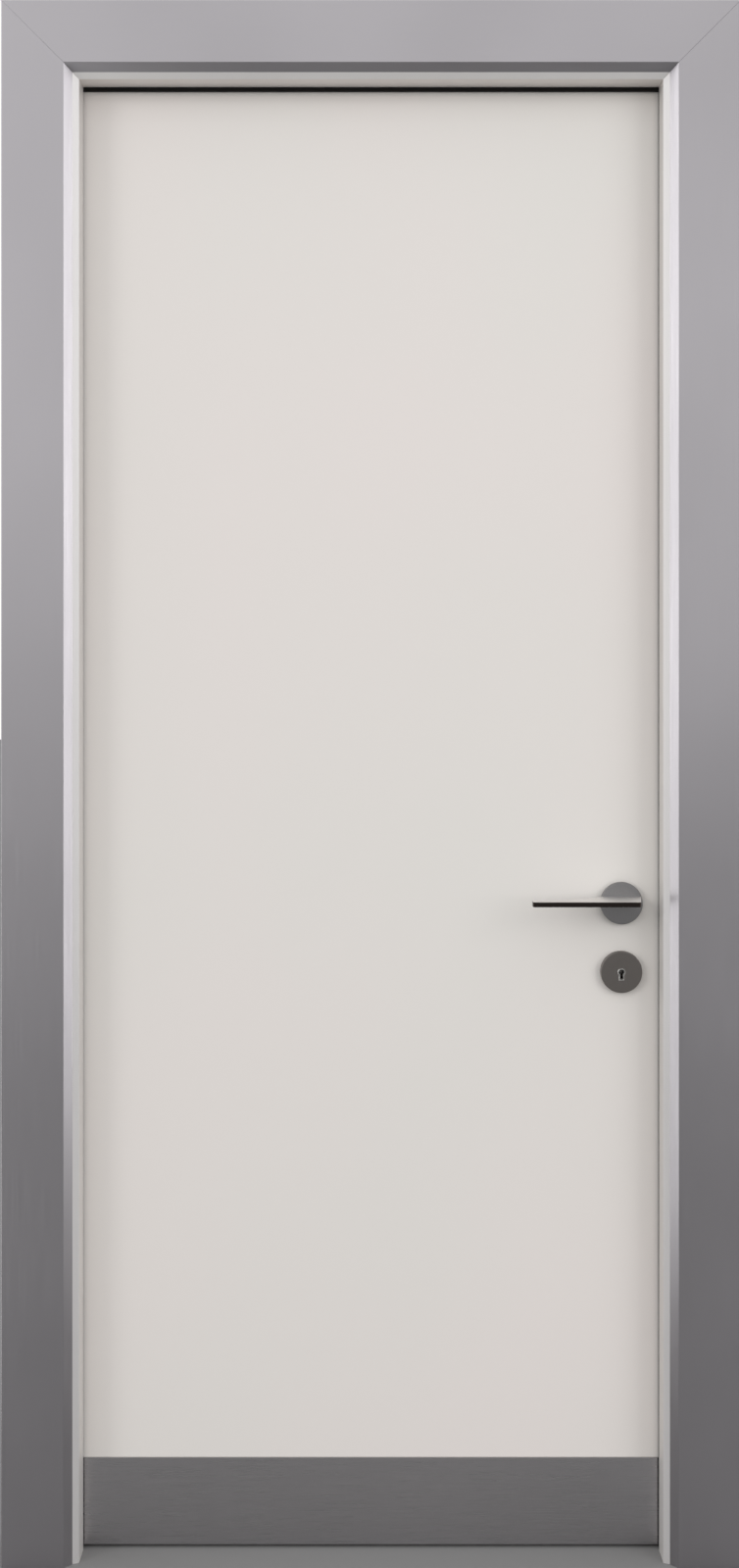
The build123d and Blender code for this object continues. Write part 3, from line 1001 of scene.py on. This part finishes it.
def make_guide(name, at_back):
    """The bright sleeve that lines the keyhole, from its foot on the disc to its inner end."""
    shape = bmesh.new()
    rings = [
        [shape.verts.new((x, y, z)) for x, z in keyhole_ring(grow)] for grow, y in guide_levels
    ]
    count = len(rings[0])
    for ring, after in zip(rings, rings[1:]):
        for i in range(count):
            j = (i + 1) % count
            shape.faces.new((ring[i], ring[j], after[j], after[i]))
    bmesh.ops.recalc_face_normals(shape, faces=shape.faces)
    if shape.faces[count].normal.y > 0:
        bmesh.ops.reverse_faces(shape, faces=shape.faces)
    mesh = bpy.data.meshes.new(name)
    shape.to_mesh(mesh)
    shape.free()
    if at_back:
        mirrored_to_back(mesh)
    mesh.materials.append(screw_steel)
    return new_piece(name, mesh)


print("points round the keyhole", len(keyhole_ring(0)))

# %% Discs and guides on both sides
disc_edge = 0.3 * MM
round_part_angle = 50.0
for side in ("front", "back"):
    guide = make_guide(f"{side}_key_guide", side == "back")
    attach(guide, "leaf")
    disc = softened(f"{side}_escutcheon", plate_steel, disc_edge, least_angle=round_part_angle)
    ring = softened(f"{side}_rose", plate_steel, disc_edge, least_angle=round_part_angle)
    for piece in (disc, ring):
        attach(piece, "leaf")
        print(piece.name, len(piece.data.polygons))

# %% [markdown]
# Hinges, lock parts and edges
#
# These show when the leaf stands open, and the hinge knuckles show from behind. The parts inside
# the leaf keep their construction mesh and only get a material.

# %% Hinges, lock and edges
hinge_places = ("top", "middle", "bottom")
hinge_edge = 0.4 * MM
plate_edge = 0.3 * MM
for place in hinge_places:
    for part, body in (("frame_flap", "frame"), ("pin", "frame"), ("leaf_flap", "leaf")):
        node = f"{place}_hinge_{part}"
        piece = softened(node, hinge_steel, hinge_edge, least_angle=round_part_angle)
        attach(piece, body)
for node, material, finish, body in (
    ("strike_plate", lock_steel, "lock_steel", "frame"),
    ("lock_faceplate", lock_steel, "lock_steel", "leaf"),
    ("latch_bolt", lock_steel, "lock_steel", "leaf"),
    ("dead_bolt", lock_steel, "lock_steel", "leaf"),
    ("hinge_lipping", edge_band, "edge_band", "leaf"),
    ("latch_lipping", edge_band, "edge_band", "leaf"),
    ("top_lipping", edge_band, "edge_band", "leaf"),
    ("bottom_lipping", edge_band, "edge_band", "leaf"),
):
    piece = softened(node, material, plate_edge)
    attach(piece, body)
for node, material in (
    ("leaf_core", core_board),
    ("lock_case", lock_steel),
    ("spindle", lock_steel),
):
    nodes[node].data.materials.clear()
    nodes[node].data.materials.append(material)

# %% [markdown]
# Screws
#
# A screw repeats more than twenty times: in every hinge flap, in the lock's faceplate and in the
# strike plate. One small Geometry Nodes tree makes the head, a low cone with a cross cut into
# it. The cross is two blocks centred on the head's top, so they are twice as high as the cut is
# deep.

# %% One screw head
head_sides = 24
shoulder_share = 0.72
cross_share = 1.05
block_share = 2.0


def times(tree, value, factor):
    """A value times a fixed factor."""
    product = node_of(tree, "ShaderNodeMath", operation="MULTIPLY")
    product.inputs[1].default_value = factor
    link(tree, value, product.inputs[0])
    return product.outputs[0]


def cross_blocks(tree, given):
    """Nodes that make two crossed blocks, centred on the top of the head."""
    length = times(tree, given["Head Radius"], cross_share)
    height = times(tree, given["Slot Depth"], block_share)
    blocks = node_of(tree, "GeometryNodeJoinGeometry")
    for across, along in (("X", "Y"), ("Y", "X")):
        size = node_of(tree, "ShaderNodeCombineXYZ")
        link(tree, given["Slot Width"], size.inputs[across])
        link(tree, length, size.inputs[along])
        link(tree, height, size.inputs["Z"])
        block = node_of(tree, "GeometryNodeMeshCube")
        link(tree, size.outputs[0], block.inputs["Size"])
        link(tree, block.outputs["Mesh"], blocks.inputs["Geometry"])
    lift = node_of(tree, "ShaderNodeCombineXYZ")
    link(tree, given["Head Height"], lift.inputs["Z"])
    raised = node_of(tree, "GeometryNodeTransform")
    link(tree, blocks.outputs[0], raised.inputs["Geometry"])
    link(tree, lift.outputs[0], raised.inputs["Translation"])
    return raised.outputs[0]


def screw_head(tree, given):
    """Nodes that make one head with its cross cut in."""
    head = node_of(tree, "GeometryNodeMeshCone")
    head.inputs["Vertices"].default_value = head_sides
    shoulder = times(tree, given["Head Radius"], shoulder_share)
    link(tree, shoulder, head.inputs["Radius Top"])
    link(tree, given["Head Radius"], head.inputs["Radius Bottom"])
    link(tree, given["Head Height"], head.inputs["Depth"])
    cut = node_of(tree, "GeometryNodeMeshBoolean", operation="DIFFERENCE")
    link(tree, head.outputs["Mesh"], cut.inputs["Mesh 1"])
    link(tree, cross_blocks(tree, given), cut.inputs["Mesh 2"])
    return cut.outputs["Mesh"]


print("made: cross_blocks, screw_head")

# %% [markdown]
# The tree sets a copy of the head on every point of a mesh of points. Each point carries the way
# that its screw faces. The copies are realized at the end, so that the result is plain mesh.

# %% The screw tree
def screw_tree():
    """Geometry Nodes that turn points into screw heads with a cross recess."""
    tree = bpy.data.node_groups.new("flap_screws", "GeometryNodeTree")
    sockets = tree.interface
    sockets.new_socket("Places", in_out="INPUT", socket_type="NodeSocketGeometry")
    for name in ("Head Radius", "Head Height", "Slot Width", "Slot Depth"):
        sockets.new_socket(name, in_out="INPUT", socket_type="NodeSocketFloat")
    sockets.new_socket("Finish", in_out="INPUT", socket_type="NodeSocketMaterial")
    sockets.new_socket("Screws", in_out="OUTPUT", socket_type="NodeSocketGeometry")
    given = node_of(tree, "NodeGroupInput").outputs
    result = node_of(tree, "NodeGroupOutput")
    facing = node_of(tree, "GeometryNodeInputNamedAttribute", data_type="FLOAT_VECTOR")
    facing.inputs["Name"].default_value = "facing"
    turned_to = node_of(tree, "FunctionNodeAlignRotationToVector", axis="Z")
    link(tree, facing.outputs["Attribute"], turned_to.inputs["Vector"])
    points = node_of(tree, "GeometryNodeMeshToPoints")
    link(tree, given["Places"], points.inputs["Mesh"])
    copies = node_of(tree, "GeometryNodeInstanceOnPoints")
    link(tree, points.outputs[0], copies.inputs["Points"])
    link(tree, screw_head(tree, given), copies.inputs["Instance"])
    link(tree, turned_to.outputs[0], copies.inputs["Rotation"])
    real = node_of(tree, "GeometryNodeRealizeInstances")
    link(tree, copies.outputs[0], real.inputs["Geometry"])
    finish = node_of(tree, "GeometryNodeSetMaterial")
    link(tree, real.outputs[0], finish.inputs["Geometry"])
    link(tree, given["Finish"], finish.inputs["Material"])
    link(tree, finish.outputs[0], result.inputs["Screws"])
    return tree


screws = screw_tree()
print("tree", screws.name, "nodes", len(screws.nodes))

# %% [markdown]
# The points come from the boxes of the flaps and plates: two staggered rows on a flap, and one
# screw near each end of the narrow plates. The leaf's flaps are flush with its edge, and the
# frame's flaps face them across the gap.

# %% Screw places
flap_rows = (-36.0 * MM, -13.0 * MM, 13.0 * MM, 36.0 * MM)
flap_insets = (9.0 * MM, 22.0 * MM)
plate_inset = 10.0 * MM
leaf_gap = 5.5 * MM
frame_flap_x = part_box("hinge_lipping")[0][X] - leaf_gap


def places_on_flap(face_x, facing, centre):
    """Four staggered screws on a hinge flap, each with the way that it faces."""
    found = []
    for row, rise in enumerate(flap_rows):
        inset = flap_insets[row % len(flap_insets)]
        found.append(((face_x, leaf_back - inset, centre + rise), (facing, 0, 0)))
    return found


def places_on_plate(node, face_x, facing):
    """One screw near each end of a narrow plate, each with the way that it faces."""
    low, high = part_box(node)
    ends = (low[Z] + plate_inset, high[Z] - plate_inset)
    return [((face_x, middle_of(node, Y), z), (facing, 0, 0)) for z in ends]


frame_places, leaf_places = [], []
for place in hinge_places:
    centre = middle_of(f"{place}_hinge_frame_flap", Z)
    frame_places += places_on_flap(frame_flap_x, 1, centre)
    leaf_places += places_on_flap(leaf_low[X], -1, centre)
frame_places += places_on_plate("strike_plate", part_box("strike_plate")[0][X], -1)
leaf_places += places_on_plate("lock_faceplate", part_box("lock_faceplate")[1][X], 1)
print("screws on the frame", len(frame_places), "and on the leaf", len(leaf_places))

# %% [markdown]
# The sizes are given to the tree by each socket's identifier, before the object is first
# evaluated. The result is one plain mesh for each body.

# %% Set the screws
screw_values = {
    "Head Radius": 3.4 * MM,
    "Head Height": 0.8 * MM,
    "Slot Width": 0.9 * MM,
    "Slot Depth": 0.6 * MM,
    "Finish": screw_steel,
}


def set_screws(name, places, body):
    """Screws at their places, as one plain mesh that rides on a body."""
    mesh = bpy.data.meshes.new(name)
    mesh.from_pydata([place for place, way in places], [], [])
    facing = mesh.attributes.new("facing", "FLOAT_VECTOR", "POINT")
    for index, (place, way) in enumerate(places):
        facing.data[index].vector = way
    piece = new_piece(name, mesh)
    modifier = piece.modifiers.new("screws", "NODES")
    modifier.node_group = screws
    for socket in screws.interface.items_tree:
        if socket.name in screw_values:
            modifier[socket.identifier] = screw_values[socket.name]
    bake_modifiers(piece)
    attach(piece, body)
    print(name, len(places), "screws", len(piece.data.polygons), "faces")


set_screws("frame_screws", frame_places, "frame")
set_screws("leaf_screws", leaf_places, "leaf")
